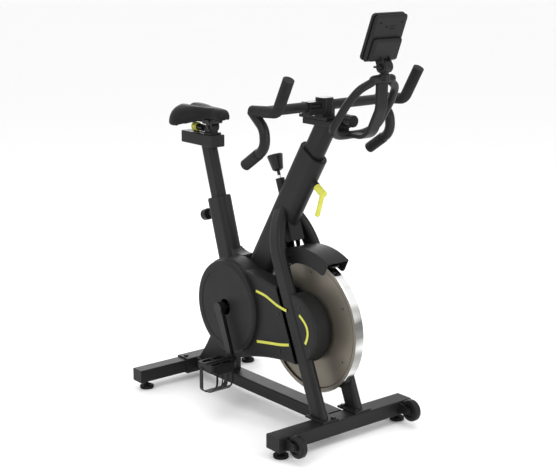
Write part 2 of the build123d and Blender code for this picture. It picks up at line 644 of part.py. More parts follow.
# ---------------------------------------------------------------- seat
rail_x, rail_z = SEAT_RAIL[:2], SEAT_RAIL[2:]
POST_INSERT = 160.0
seat_post = oval_bar(step(SEAT_TOP, seat_down, POST_INSERT), seat_up, 400, SEAT_POST)
seat_post -= oval_bar(step(SEAT_TOP, seat_down, POST_INSERT + 1), seat_up, 420, (SEAT_POST[0] - 6, SEAT_POST[1] - 6))
seat_post -= block((-1000, 0), (-100, 100), (rail_z[0], 1200))
for index in range(6):
    spot = step(SEAT_TOP, seat_up, 22 + 24 * index)
    seat_post -= rod(at(spot), at(step(spot, seat_back, 60)), 5)
save("seat_post", largest(seat_post))


def square_rail(x, z, half):
    """Rectangular tube along X with rounded edges."""
    tube = fillet(block(x, (-half, half), z).edges().filter_by(Axis.X), 3)
    return tube - block((x[0] - 1, x[1] + 1), (-half + 3, half - 3), (z[0] + 3, z[1] - 3))


seat_rail = square_rail(rail_x, rail_z, RAIL_HALF)
seat_rail -= block((rail_x[0] + 25, rail_x[1] - 10), (-6, 6), (rail_z[1] - 10, rail_z[1] + 5))


def rail_cap(x, z, half, side):
    """Plug in the end of a rail; side is +1 at the front end and -1 at the rear end."""
    face = fillet(block(sorted((x, x + side * 3)), (-half, half), z).edges().filter_by(Axis.X), 3)
    return face + block(sorted((x, x - side * 9)), (-half + 3.1, half - 3.1), (z[0] + 3.1, z[1] - 3.1))


save("seat_rail", seat_rail, rail_cap(rail_x[0], rail_z, RAIL_HALF, -1), rail_cap(rail_x[1], rail_z, RAIL_HALF, 1))

top_z = rail_z[1]
carriage = block((CARRIAGE_X - 20, CARRIAGE_X + 18), (-21, 21), (top_z + 0.1, top_z + 6))
carriage += block((CARRIAGE_X - 14, CARRIAGE_X + 12), (-5.9, 5.9), (top_z - 3.5, top_z + 1))
carriage += block((CARRIAGE_X - 16, CARRIAGE_X + 14), (-15, 15), (top_z - 7, top_z - 3.1))
carriage += block((CARRIAGE_X - 12, CARRIAGE_X + 12), (-12.5, 12.5), (top_z + 5, TILT_Z))
carriage += cross_rod((CARRIAGE_X, TILT_Z), (-12.5, 12.5), 12)
carriage += rod((CARRIAGE_X - 30, 0, SEAT_KNOB_Z), (CARRIAGE_X - 12, 0, SEAT_KNOB_Z), 9)
carriage += block((CARRIAGE_X - 30, CARRIAGE_X - 12), (-9, 9), (top_z + 5, SEAT_KNOB_Z))
carriage -= rod((CARRIAGE_X - 31, 0, SEAT_KNOB_Z), (CARRIAGE_X - 14, 0, SEAT_KNOB_Z), 5 + RUN_FIT)
carriage -= cross_rod((CARRIAGE_X, TILT_Z), (-20, 20), 4 + RUN_FIT)
save("saddle_carriage", carriage)

grip_knob = rod((CARRIAGE_X - 101, 0, SEAT_KNOB_Z), (CARRIAGE_X - 78, 0, SEAT_KNOB_Z), 15)
grip_knob = fillet(grip_knob.edges(), 3)
for index in range(6):
    angle = radians(60 * index)
    groove = (17 * cos(angle), SEAT_KNOB_Z + 17 * sin(angle))
    grip_knob -= rod((CARRIAGE_X - 110, *groove), (CARRIAGE_X - 70, *groove), 3.5)
grip_knob += rod((CARRIAGE_X - 79, 0, SEAT_KNOB_Z), (CARRIAGE_X - 48, 0, SEAT_KNOB_Z), 11)
save("saddle_knob", grip_knob + rod((CARRIAGE_X - 49, 0, SEAT_KNOB_Z), (CARRIAGE_X - 16, 0, SEAT_KNOB_Z), 5))

clamp = block((CARRIAGE_X - 18, CARRIAGE_X + 16), (-28, 28), (TILT_Z + 13, TILT_Z + 26))
for y in ((-17.5, -13), (13, 17.5)):
    clamp += block((CARRIAGE_X - 13, CARRIAGE_X + 13), y, (TILT_Z, TILT_Z + 14)) \
        + cross_rod((CARRIAGE_X, TILT_Z), y, 13)
clamp -= cross_rod((CARRIAGE_X, TILT_Z), (-20, 20), 12.6) & block((-2000, 0), (-12.9, 12.9), (0, 2000))
RAIL_ROD_Y = 22.0
RAIL_ROD_Z = TILT_Z + 19.5
SADDLE_ROD_R = 3.5


def saddle_rod_path(y):
    """Line of a saddle rail, turned up at both ends."""
    return FilletPolyline((CARRIAGE_X - 90, y, RAIL_ROD_Z + 10), (CARRIAGE_X - 64, y, RAIL_ROD_Z),
                          (CARRIAGE_X + 18, y, RAIL_ROD_Z), (CARRIAGE_X + 38, y * 0.7, RAIL_ROD_Z + 10), radius=14)


saddle_rods = [swept_rod(saddle_rod_path(y), SADDLE_ROD_R) for y in (-RAIL_ROD_Y, RAIL_ROD_Y)]
for saddle_rod in saddle_rods:
    clamp -= saddle_rod
pivot_bolt = cross_rod((CARRIAGE_X, TILT_Z), (-21, 21), 4) + cross_rod((CARRIAGE_X, TILT_Z), (-22.5, -17.5), 7) \
    + cross_rod((CARRIAGE_X, TILT_Z), (17.5, 22.5), 7)
save("saddle_rails", *saddle_rods, largest(clamp - pivot_bolt), pivot_bolt)

SADDLE_BASE_Z = RAIL_ROD_Z + 8
base_outline = Polygon((-744, -30), (-700, -30), (-612, -20), (-592, -12), (-592, 12), (-612, 20), (-700, 30),
                       (-744, 30), align=None)
base_plate = extrude(Pos(0, 0, SADDLE_BASE_Z) * base_outline, amount=4)
for saddle_rod in saddle_rods:
    base_plate -= saddle_rod
save("saddle_base", largest(base_plate))


def saddle():
    """Padded saddle: broad wings at the rear and a narrow nose."""
    stations = [(-800, 96, 880, 910), (-784, 150, 872, 928), (-755, 170, 868, 934), (-715, 146, 876, 933),
                (-672, 92, 893, 933), (-625, 60, 900, 934), (-585, 46, 902, 931), (-560, 24, 906, 924)]
    faces = []
    for x, width, low, high in stations:
        corner = min(width, high - low) * 0.42
        plane = Plane(origin=(x, 0, (low + high) / 2), x_dir=(0, 1, 0), z_dir=(1, 0, 0))
        faces.append(plane * RectangleRounded(width, high - low, corner))
    return loft(faces, ruled=True)


cushion = saddle() - extrude(Pos(0, 0, SADDLE_BASE_Z - 60) * offset(base_outline, 0.4), amount=64.2)
for y in (-RAIL_ROD_Y, RAIL_ROD_Y):
    cushion -= swept_rod(saddle_rod_path(y), SADDLE_ROD_R + 0.6)
cushion -= block((CARRIAGE_X - 19, CARRIAGE_X + 17), (-29, 29), (TILT_Z, TILT_Z + 27))
save("saddle_cushion", largest(cushion))

pin_start = step(pin_axis, seat_back, SEAT_POST[0] / 2 + 0.6)
pin_body = rod(at(pin_start), at(step(pin_face, seat_back, 24)), 5)
pin_body += rod(at(step(pin_face, seat_back, 21)), at(step(pin_face, seat_back, 27)), 13)
knob_grip = rod(at(step(pin_face, seat_back, 26)), at(step(pin_face, seat_back, 53)), 19.5)
pin_body += fillet(knob_grip.edges(), 4)
save("seat_pin", pin_body)

# ---------------------------------------------------------------- handlebar post and rail
HEAD_INSERT = 180.0
bar_rail_x, bar_rail_z = BAR_RAIL[:2], BAR_RAIL[2:]
bar_post = oval_bar(step(HEAD_TOP, head_down, HEAD_INSERT), head_up, 360, HEAD_POST)
bar_post -= oval_bar(step(HEAD_TOP, head_down, HEAD_INSERT + 1), head_up, 380, (HEAD_POST[0] - 6, HEAD_POST[1] - 6))
slot_plane = Plane(origin=at(step(HEAD_TOP, head_down, HEAD_INSERT + 1)), x_dir=at(head_front), z_dir=at(head_up))
bar_post -= extrude(slot_plane * Rectangle(100, 22), amount=104)
bar_post -= block((-500, 500), (-100, 100), (bar_rail_z[0], 1300))
save("handlebar_post", largest(bar_post))
bar_rail = square_rail(bar_rail_x, bar_rail_z, 25.5)
bar_rail -= block((bar_rail_x[0] + 18, bar_rail_x[1] - 20), (-6, 6), (bar_rail_z[1] - 6, bar_rail_z[1] + 5))
screw_line = (0, 970)
lug = fillet(block((bar_rail_x[1] - 14, bar_rail_x[1] - 1), (-17, 17), (bar_rail_z[1], 986)).edges().filter_by(Axis.X), 5)
lug -= rod((-40, *screw_line), (20, *screw_line), 6 + RUN_FIT)
save("handlebar_rail", bar_rail, lug, rail_cap(bar_rail_x[0], bar_rail_z, 25.5, -1),
     rail_cap(bar_rail_x[1], bar_rail_z, 25.5, 1))

slide_knob = fillet(rod((6, *screw_line), (40, *screw_line), 17.5).edges(), 3)
for index in range(8):
    angle = radians(45 * index)
    groove = (20 * cos(angle), screw_line[1] + 20 * sin(angle))
    slide_knob -= rod((0, *groove), (50, *groove), 4)
save("handlebar_slide_knob", slide_knob + rod((-22, *screw_line), (8, *screw_line), 6))

slider = block(SLIDER[:2], (-27.5, 27.5), (SLIDER[2] + 0.3, SLIDER[3]))
slider += block((BAR_X - 15, BAR_X + 20), (-5.9, 5.9), (SLIDER[2] - 3.5, SLIDER[2] + 1))
slider += block((BAR_X - 17, BAR_X + 22), (-15, 15), (SLIDER[2] - 7, SLIDER[2] - 3.1))
slider += block((BAR_X - 17, BAR_X + 17), (-26, 22), (SLIDER[3] - 1, BAR_Z - BAR_R - 3))
slider += block((BAR_X - 17, BAR_X + 17), (-76, 22), (BAR_Z - BAR_R - 8, BAR_Z - 6))
slider -= cross_rod((BAR_X, BAR_Z), (-120, 60), BAR_R + 0.05)
save("handlebar_slider", slider)

bar_clamp = extrude(Pos(BAR_X, -4, BAR_Z - 23) * RectangleRounded(46, 44, 13), amount=47)
bar_clamp -= block((BAR_X - 17.3, BAR_X + 17.3), (-77, 40), (BAR_Z - 30, BAR_Z - 5.8))
bar_clamp += block((BAR_X - 17, BAR_X + 17), (-76, -20), (BAR_Z - 5.8, BAR_Z + 15))
bar_clamp -= cross_rod((BAR_X, BAR_Z), (-120, 60), BAR_R + 0.05)
bar_clamp -= block((BAR_X + 9, BAR_X + 30), (-70, -30), (BAR_Z - 20, BAR_Z + 8))
save("bar_clamp", largest(bar_clamp))


BAR_WALL = 2.2
DROP_TIP = (BAR_X - 66, BAR_END_Y, BAR_Z - 158)


def bar_side():
    """Left half of the handlebar: crossbar, drop and upturned horn in one welded piece."""
    y = BAR_END_Y
    cross = cross_rod((BAR_X, BAR_Z), (0, y), BAR_R)
    drop = FilletPolyline((BAR_X - 37, y, BAR_Z - 1), (BAR_X + 19, y, BAR_Z - 46), (BAR_X + 23, y, BAR_Z - 100),
                          DROP_TIP, radius=45)
    horn = horn_path(y)
    tube = cross + swept_rod(drop, BAR_R) + swept_rod(horn, HORN_R)
    return tube - cross_rod((BAR_X, BAR_Z), (0, y - 14), BAR_R - BAR_WALL) \
        - swept_rod(drop, BAR_R - BAR_WALL) - swept_rod(horn, HORN_R - BAR_WALL)


def horn_path(y, lead=0.0):
    """Line of the hood and horn, from its rear end to its tip."""
    return FilletPolyline((BAR_X - 33 - lead, y, BAR_Z - 1), (BAR_X + 78, y + 1, BAR_Z + 7),
                          (BAR_X + 131, y + 5, BAR_Z + 100 + lead), radius=30)


half_bar = bar_side()
handlebar = half_bar + mirror(half_bar, about=Plane.XZ)
save("handlebar", handlebar)

horn = horn_path(BAR_END_Y, 2)
horn_grip = swept_rod(horn, GRIP_R) - swept_rod(horn_path(BAR_END_Y), HORN_R - 0.5)
drop_tip = Vector(*DROP_TIP)
drop_end = Vector(BAR_X + 23, BAR_END_Y, BAR_Z - 100)
along = (drop_end - drop_tip).normalized()
drop_grip = rod(drop_tip - along * 2, drop_tip + along * 70, GRIP_R)
save("handlebar_grips", *both_sides(largest(horn_grip - half_bar)), *both_sides(largest(drop_grip - half_bar)))

lever_post = HEAD_POST[0] / 2 + 0.6
lever = rod(at(step(lever_axis, head_front, lever_post)), at(step(lever_face, head_front, 30)), 6)
lever += rod(at(step(lever_face, head_front, 14)), at(step(lever_face, head_front, 52)), 11.5)
lever_elbow = step(lever_face, head_front, 45)
lever_tail = (lever_elbow[0] - 22, lever_elbow[1] - 66)
lever += rod(at(lever_elbow), at(lever_tail), 7.5) + Pos(*at(lever_tail)) * Sphere(8.5)
save("height_lever", lever)


# ---------------------------------------------------------------- console and its bracket
def console_bracket():
    """Closed hoop and the curved strap that carries the console, with a foot under the rail."""
    rise = (cos(radians(HOOP_RISE)), sin(radians(HOOP_RISE)))
    plane = Plane(origin=at(HOOP_BASE), x_dir=(0, 1, 0), z_dir=(rise[1], 0, -rise[0]))
    points = [(0, 0), (60, 7), (86, 32), (87, 64), (84, 121), (77, 152), (61, 183), (33, 205), (0, 213)]
    hoop_path = plane * Spline(*points, tangents=[(1, 0), (-1, 0)])
    hoop = sweep(Plane(origin=hoop_path @ 0, z_dir=hoop_path % 0) * Circle(HOOP_R), path=hoop_path)
    hoop += mirror(hoop, about=Plane.XZ)
    strap_path = Plane.XZ * FilletPolyline((-36, 932), (104, 932), (149, 1020), (150, 1102), radius=50)
    start = Plane(origin=strap_path @ 0, x_dir=(0, 1, 0), z_dir=strap_path % 0)
    strap = sweep(start * RectangleRounded(42, 12, 5), path=strap_path)
    pad = block((-34, -4), (-21, 21), (936, bar_rail_z[0]))
    crown = rod((PIVOT[0], 0, 1096), (PIVOT[0], 0, CROWN_TOP), 16)
    return hoop + strap + pad + crown


save("console_bracket", console_bracket(), *[hex_head((x, 0, 926), (0, 0, -1), 6.5, 4) for x in (-27, 5)])

barrel = cross_rod(PIVOT, (-12, 12), KNUCKLE_R)
barrel += rod((PIVOT[0], 0, CROWN_TOP + 0.2), at(PIVOT), 12)
save("console_knuckle", barrel - cross_rod(PIVOT, (-20, 20), 4 + RUN_FIT))
wing = cross_rod(PIVOT, (-22, 16), 4) + cross_rod(PIVOT, (-24, -17), 8)
wing += block((PIVOT[0] - 13, PIVOT[0] + 13), (-30, -22), (PIVOT[1] - 2.5, PIVOT[1] + 2.5))
save("console_screw", wing)

console_up = (sin(radians(CONSOLE_TILT)), cos(radians(CONSOLE_TILT)))
console_plane = Plane(origin=at(CONSOLE_CENTRE), x_dir=(0, 1, 0), z_dir=(console_up[1], 0, -console_up[0]))
up_sign = 1 if (console_plane * Pos(0, 10, 0)).position.Z > CONSOLE_CENTRE[1] else -1
BACK_DEPTH = 13.0
FRONT_DEPTH = 11.0
width, height = CONSOLE_SIZE


def console_slab(size, start, end, centre=(0, 0), corner=12):
    """Rounded slab of the console; start and end are depths towards the bike's front."""
    sketch = Pos(centre[0], up_sign * centre[1], start) * RectangleRounded(*size, corner)
    return console_plane * extrude(sketch, amount=end - start)


back = console_slab((width, height), 0, BACK_DEPTH)
back = chamfer(back.faces().sort_by(Axis.X)[-1].edges(), 6)
battery = console_slab((104, 66), BACK_DEPTH - 4, BACK_DEPTH + 14, (0, -30), 8)
back += chamfer(battery.faces().sort_by(Axis.X)[-1].edges(), 7)
back -= console_slab((width - 12, height - 12), -1, BACK_DEPTH - 3, corner=6)
ear_root = step(CONSOLE_CENTRE, console_up, -66)
ear_root = step(ear_root, (console_up[1], -console_up[0]), 10)
for y in ((-16.5, -12.6), (12.6, 16.5)):
    back += cross_rod(PIVOT, y, KNUCKLE_R - 1)
    ear_line = Polygon((PIVOT[0] - 16, PIVOT[1] + 4), (PIVOT[0] + 16, PIVOT[1] + 2),
                       (ear_root[0] + 20, ear_root[1] + 22), (ear_root[0] - 8, ear_root[1] + 16), align=None)
    back += side_plate(ear_line, y)
back -= cross_rod(PIVOT, (-30, 30), 4.05) + cross_rod(PIVOT, (-12.55, 12.55), KNUCKLE_R + 1.5)
save("console_back", largest(back))

front = console_slab((width, height), -FRONT_DEPTH, -0.05)
front = fillet(front.faces().sort_by(Axis.X)[0].edges(), 4)
front -= console_slab((width - 22, 72), -FRONT_DEPTH - 1, -FRONT_DEPTH + 2.2, (0, 18), 5)
front -= console_slab((width - 7, height - 7), -FRONT_DEPTH + 3.5, 1, corner=9)
button_spots = (-26.0, 26.0)
for y in button_spots:
    front -= console_slab((30.6, 16.6), -FRONT_DEPTH - 1, 1, (y, -42), 6)
save("console_front", front)
save("console_screen", console_slab((width - 23, 71), -FRONT_DEPTH + 0.7, -FRONT_DEPTH + 2.1, (0, 18), 5))
for name, y in zip(("right", "left"), button_spots):
    save(f"console_button_{name}", console_slab((30, 16), -FRONT_DEPTH - 2.5, -FRONT_DEPTH + 5.5, (y, -42), 5.5))
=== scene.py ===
from math import cos, exp, pi, radians, sin

import bpy
from mathutils import Euler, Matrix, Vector


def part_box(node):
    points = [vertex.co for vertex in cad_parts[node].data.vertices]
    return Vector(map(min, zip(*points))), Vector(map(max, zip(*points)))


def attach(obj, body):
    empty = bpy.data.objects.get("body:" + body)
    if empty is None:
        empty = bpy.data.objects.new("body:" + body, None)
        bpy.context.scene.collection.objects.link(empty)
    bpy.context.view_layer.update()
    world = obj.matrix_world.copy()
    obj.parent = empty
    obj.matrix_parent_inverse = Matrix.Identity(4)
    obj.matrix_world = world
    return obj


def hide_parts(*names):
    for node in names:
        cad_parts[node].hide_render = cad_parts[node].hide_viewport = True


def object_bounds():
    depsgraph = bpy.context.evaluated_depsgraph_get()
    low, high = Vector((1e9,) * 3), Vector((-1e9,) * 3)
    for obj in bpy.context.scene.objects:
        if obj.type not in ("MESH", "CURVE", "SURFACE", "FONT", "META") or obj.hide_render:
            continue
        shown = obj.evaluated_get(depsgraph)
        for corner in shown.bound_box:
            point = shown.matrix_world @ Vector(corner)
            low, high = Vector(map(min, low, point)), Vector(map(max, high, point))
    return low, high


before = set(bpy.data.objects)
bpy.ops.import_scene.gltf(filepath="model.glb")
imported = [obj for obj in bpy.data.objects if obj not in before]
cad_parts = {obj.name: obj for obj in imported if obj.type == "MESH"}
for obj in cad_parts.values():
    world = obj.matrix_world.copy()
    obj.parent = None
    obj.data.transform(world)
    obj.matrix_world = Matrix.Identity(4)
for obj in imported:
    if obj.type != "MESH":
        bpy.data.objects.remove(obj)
cad_low, cad_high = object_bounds()

# Metres, in the frame of the CAD model: +X to the front of the bike, +Y to the rider's left, +Z up.
CAMERA_PLACE = (3.0027, -2.4434, 1.4998)
CAMERA_DROP = 13.52                 # degrees below the horizon
CAMERA_TURN = 50.84
CAMERA_LENS = 82.8
FLOOR_SIZE = 120.0

fly_low, fly_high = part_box("flywheel")
FLY_AXIS = ((fly_low.x + fly_high.x) / 2, (fly_low.z + fly_high.z) / 2)
FLY_RADIUS = (fly_high.z - fly_low.z) / 2
COVER_FACE_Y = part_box("drive_cover_front")[0].y


# ---------------------------------------------------------------- materials
class Finish:
    """A Principled material, with helpers that add its texture nodes."""

    def __init__(self, name, **values):
        self.material = bpy.data.materials.new(name)
        self.material.use_nodes = True
        self.tree = self.material.node_tree
        self.shader = self.tree.nodes["Principled BSDF"]
        for socket, value in values.items():
            self.shader.inputs[socket.replace("_", " ")].default_value = value
        self.place = self.add("ShaderNodeTexCoord").outputs["Object"]
        self.normal = None

    def add(self, kind, **settings):
        node = self.tree.nodes.new(kind)
        for key, value in settings.items():
            setattr(node, key, value)
        return node

    def join(self, output, socket):
        self.tree.links.new(output, socket)

    def noise(self, scale, detail=4.0, stretch=None):
        """Noise texture; stretch scales its coordinates along x, y and z."""
        node = self.add("ShaderNodeTexNoise")
        node.inputs["Scale"].default_value = scale
        node.inputs["Detail"].default_value = detail
        place = self.place
        if stretch:
            mapping = self.add("ShaderNodeMapping")
            mapping.inputs["Scale"].default_value = stretch
            self.join(place, mapping.inputs["Vector"])
            place = mapping.outputs["Vector"]
        self.join(place, node.inputs["Vector"])
        return node.outputs["Fac"]

    def cells(self, scale, feature="F1"):
        """Voronoi cells, for leather grain and moulded texture."""
        node = self.add("ShaderNodeTexVoronoi", feature=feature)
        node.inputs["Scale"].default_value = scale
        self.join(self.place, node.inputs["Vector"])
        return node.outputs["Distance"]

    def ramp(self, value, *stops):
        """Colour ramp from (position, colour) stops."""
        node = self.add("ShaderNodeValToRGB")
        elements = node.color_ramp.elements
        while len(elements) < len(stops):
            elements.new(0.5)
        for element, (position, colour) in zip(elements, stops):
            element.position = position
            element.color = (*colour, 1.0)
        self.join(value, node.inputs["Fac"])
        return node.outputs["Color"]

    def spread(self, value, low, high):
        """Value from 0 to 1 mapped to a range."""
        node = self.add("ShaderNodeMapRange")
        node.inputs["To Min"].default_value = low
        node.inputs["To Max"].default_value = high
        self.join(value, node.inputs["Value"])
        return node.outputs["Result"]

    def maths(self, operation, first, second=None):
        """Math node on outputs or plain numbers."""
        node = self.add("ShaderNodeMath", operation=operation)
        for socket, value in zip(node.inputs, (first, second)):
            if isinstance(value, (int, float)):
                socket.default_value = value
            elif value is not None:
                self.join(value, socket)
        return node.outputs["Value"]

    def mix(self, share, first, second):
        """Mix of two colours, each an output or a plain colour."""
        node = self.add("ShaderNodeMix", data_type="RGBA")
        self.join(share, node.inputs["Factor"])
        for socket, value in ((node.inputs[6], first), (node.inputs[7], second)):
            if isinstance(value, tuple):
                socket.default_value = (*value, 1.0)
            else:
                self.join(value, socket)
        return node.outputs[2]

    def colour(self, value):
        self.join(value, self.shader.inputs["Base Color"])

    def rough(self, value):
        self.join(value, self.shader.inputs["Roughness"])

    def metal(self, value):
        self.join(value, self.shader.inputs["Metallic"])

    def soft_edges(self, radius):
        """Rounds the shading of hard edges; returns how close a point is to an edge, from 0 to 1."""
        rounded = self.add("ShaderNodeBevel", samples=4)
        rounded.inputs["Radius"].default_value = radius
        self.normal = rounded.outputs["Normal"]
        true_normal = self.add("ShaderNodeNewGeometry").outputs["Normal"]
        dot = self.add("ShaderNodeVectorMath", operation="DOT_PRODUCT")
        self.join(self.normal, dot.inputs[0])
        self.join(true_normal, dot.inputs[1])
        node = self.add("ShaderNodeMapRange")
        node.inputs["From Min"].default_value = 0.985
        node.inputs["From Max"].default_value = 0.86
        self.join(dot.outputs["Value"], node.inputs["Value"])
        return node.outputs["Result"]

    def bump(self, height, strength, depth):
        node = self.add("ShaderNodeBump")
        node.inputs["Strength"].default_value = strength
        node.inputs["Distance"].default_value = depth
        self.join(height, node.inputs["Height"])
        if self.normal:
            self.join(self.normal, node.inputs["Normal"])
        self.normal = node.outputs["Normal"]

    def done(self):
        if self.normal:
            self.join(self.normal, self.shader.inputs["Normal"])
        return self.material

    def axis_distance(self, centre):
        """Distance from a line along Y through a side-view point."""
        parts = self.add("ShaderNodeSeparateXYZ")
        self.join(self.place, parts.inputs[0])
        squares = []
        for axis, middle in zip("XZ", centre):
            offset = self.maths("SUBTRACT", parts.outputs[axis], middle)
            squares.append(self.maths("MULTIPLY", offset, offset))
        return self.maths("SQRT", self.maths("ADD", *squares))


def powder_coat():
    """Charcoal powder coat on steel: fine orange peel, slight wear along edges."""
    finish = Finish("powder_coat", Specular_IOR_Level=0.17)
    edge = finish.soft_edges(0.0022)
    cloud = finish.noise(7, 5)
    paint = finish.ramp(cloud, (0.3, (0.0085, 0.0085, 0.0088)), (0.75, (0.0125, 0.0125, 0.0128)))
    worn = finish.maths("MULTIPLY", edge, finish.spread(finish.noise(70, 3), 0.0, 0.7))
    finish.colour(finish.mix(worn, paint, (0.045, 0.045, 0.047)))
    finish.rough(finish.spread(finish.noise(45, 4), 0.34, 0.46))
    finish.bump(finish.noise(900, 2), 0.35, 0.0002)
    return finish.done()


def moulded_plastic(name, shade, rough, grain=1400, depth=0.0002, specular=0.17):
    """Injection-moulded black plastic with a spark-eroded grain."""
    finish = Finish(name, Specular_IOR_Level=specular)
    edge = finish.soft_edges(0.0012)
    base = finish.ramp(finish.noise(11, 4), (0.3, (shade * 0.85,) * 3), (0.7, (shade * 1.15,) * 3))
    light = shade * 2.1
    finish.colour(finish.mix(finish.maths("MULTIPLY", edge, 0.4), base, (light, light, light)))
    finish.rough(finish.spread(finish.noise(60, 3), rough - 0.05, rough + 0.06))
    finish.bump(finish.cells(grain), 0.25, depth)
    return finish.done()


def rubber(name, shade, rough=0.72):
    """Matt rubber with dusty patches."""
    finish = Finish(name, Specular_IOR_Level=0.15)
    finish.soft_edges(0.0010)
    finish.colour(finish.ramp(finish.noise(30, 6), (0.35, (shade * 0.8,) * 3), (0.8, (shade * 1.35,) * 3)))
    finish.rough(finish.spread(finish.noise(90, 3), rough - 0.08, rough + 0.08))
    finish.bump(finish.noise(700, 4), 0.4, 0.0003)
    return finish.done()


def grip_foam():
    """Textured handlebar covering: small raised diamonds on dark foam rubber."""
    finish = Finish("grip_foam", Specular_IOR_Level=0.15)
    finish.colour(finish.ramp(finish.noise(40, 5), (0.3, (0.009,) * 3), (0.75, (0.015,) * 3)))
    finish.rough(finish.spread(finish.noise(120, 3), 0.55, 0.7))
    waves = []
    for direction in ("X", "Z"):
        wave = finish.add("ShaderNodeTexWave", bands_direction=direction)
        wave.inputs["Scale"].default_value = 95
        finish.join(finish.place, wave.inputs["Vector"])
        waves.append(wave.outputs["Fac"])
    finish.bump(finish.maths("MULTIPLY", *waves), 0.5, 0.0008)
    finish.bump(finish.noise(1500, 2), 0.25, 0.0002)
    return finish.done()


def bright_steel(name, shade, rough, stretch):
    """Plated or polished steel with fine drawn lines."""
    finish = Finish(name, Metallic=1.0)
    finish.soft_edges(0.0006)
    lines = finish.noise(55, 6, stretch)
    finish.colour(finish.ramp(lines, (0.3, (shade * 0.82, shade * 0.81, shade * 0.79)), (0.7, (shade,) * 3)))
    finish.rough(finish.spread(lines, rough - 0.05, rough + 0.08))
    finish.bump(lines, 0.12, 0.0001)
    return finish.done()


def flywheel_iron():
    """Turned flywheel: warm grey satin face with lathe rings, a painted shade ring at the rim's recess step,
    and a polished rim coloured with painted reflection bands.
    """
    finish = Finish("flywheel_iron")
    reach = finish.axis_distance(FLY_AXIS)
    rings = finish.add("ShaderNodeTexNoise", noise_dimensions="1D")
    rings.inputs["Scale"].default_value = 1400
    rings.inputs["Detail"].default_value = 3
    finish.join(reach, rings.inputs["W"])
    rim = finish.maths("GREATER_THAN", reach, FLY_RADIUS - 0.0019)
    # Painted shade: a near-black ring on the face where the rim's recess step casts its shadow.
    step_shade_ring = finish.maths("COMPARE", reach, FLY_RADIUS - 0.0145)
    step_shade_ring.node.inputs[2].default_value = 0.0016
    cast = finish.ramp(finish.noise(5, 5), (0.25, (0.180, 0.158, 0.124)), (0.8, (0.262, 0.238, 0.198)))
    face = finish.mix(finish.spread(rings.outputs["Fac"], 0.0, 0.22), cast, (0.12, 0.105, 0.09))
    face = finish.mix(step_shade_ring, face, (0.03, 0.027, 0.024))
    # Painted reflection: bright and dark bands in the polished rim's colour stand in for what the rim
    # mirrors.
    painted_reflection_bands = finish.ramp(finish.noise(8, 1, (0.3, 0.3, 1.6)),
                        (0.42, (0.20, 0.20, 0.195)), (0.56, (0.92, 0.92, 0.91)))
    finish.colour(finish.mix(rim, face, painted_reflection_bands))
    finish.metal(finish.spread(rim, 0.72, 1.0))
    finish.rough(finish.spread(rim, 0.40, 0.13))
    finish.bump(rings.outputs["Fac"], 0.18, 0.0002)
    return finish.done()


def lime_plastic(name="lime_plastic"):
    """Satin lime-yellow plastic with a faint mottle."""
    finish = Finish(name, Specular_IOR_Level=0.45)
    finish.soft_edges(0.0010)
    finish.colour(finish.ramp(finish.noise(25, 4), (0.3, (0.47, 0.475, 0.045)), (0.7, (0.55, 0.555, 0.07))))
    finish.rough(finish.spread(finish.noise(80, 3), 0.36, 0.48))
    finish.bump(finish.cells(1500), 0.15, 0.0001)
    return finish.done()


def saddle_leather():
    """Black synthetic leather: pebbled grain and a faint random mottle."""
    finish = Finish("saddle_leather", Specular_IOR_Level=0.12, Sheen_Weight=0.006, Sheen_Roughness=0.4)
    finish.colour(finish.ramp(finish.noise(14, 5), (0.3, (0.006,) * 3), (0.75, (0.010, 0.010, 0.0104))))
    finish.rough(finish.spread(finish.noise(26, 4), 0.42, 0.55))
    finish.bump(finish.cells(520), 0.45, 0.0004)
    finish.bump(finish.noise(60, 4), 0.2, 0.0008)
    return finish.done()


def screen_glass():
    """Grey-green display behind a clear window."""
    finish = Finish("screen_glass", Coat_Weight=1.0, Coat_Roughness=0.04)
    finish.colour(finish.ramp(finish.noise(9, 3), (0.3, (0.16, 0.19, 0.15)), (0.8, (0.20, 0.235, 0.18))))
    finish.rough(finish.spread(finish.noise(300, 2), 0.28, 0.36))
    return finish.done()


def belt_rubber():
    """Ribbed drive belt."""
    finish = Finish("belt_rubber")
    wave = finish.add("ShaderNodeTexWave", bands_direction="Y")
    wave.inputs["Scale"].default_value = 130
    finish.join(finish.place, wave.inputs["Vector"])
    finish.colour(finish.ramp(finish.noise(40, 4), (0.3, (0.018,) * 3), (0.7, (0.03,) * 3)))
    finish.rough(finish.spread(finish.noise(90, 3), 0.6, 0.75))
    finish.bump(wave.outputs["Fac"], 0.6, 0.001)
    return finish.done()


def split_plastic(name, axis, edge, above, below, metal_below=0.0):
    """One moulding in two finishes, which meet where an axis passes a place."""
    finish = Finish(name, Specular_IOR_Level=0.3)
    finish.soft_edges(0.0010)
    parts = finish.add("ShaderNodeSeparateXYZ")
    finish.join(finish.place, parts.inputs[0])
    upper = finish.maths("GREATER_THAN", parts.outputs[axis], edge)
    shade = finish.noise(28, 4)
    tones = [finish.ramp(shade, (0.3, tuple(0.85 * part for part in colour)), (0.7, colour))
             for colour in (below, above)]
    finish.colour(finish.mix(upper, *tones))
    finish.metal(finish.spread(upper, metal_below, 0.0))
    finish.rough(finish.spread(finish.noise(80, 3), 0.20, 0.34))
    finish.bump(finish.cells(1500), 0.12, 0.0001)
    return finish.done()


LIME_TONE = (0.55, 0.555, 0.07)
BLACK_TONE = (0.008, 0.008, 0.008)
STEEL_TONE = (0.80, 0.79, 0.77)
KNOB_HEIGHT = 0.068                 # of the brake knob, above its bright rod
SADDLE_KNOB_GRIP = 0.024            # length of the lime part of the saddle's knob

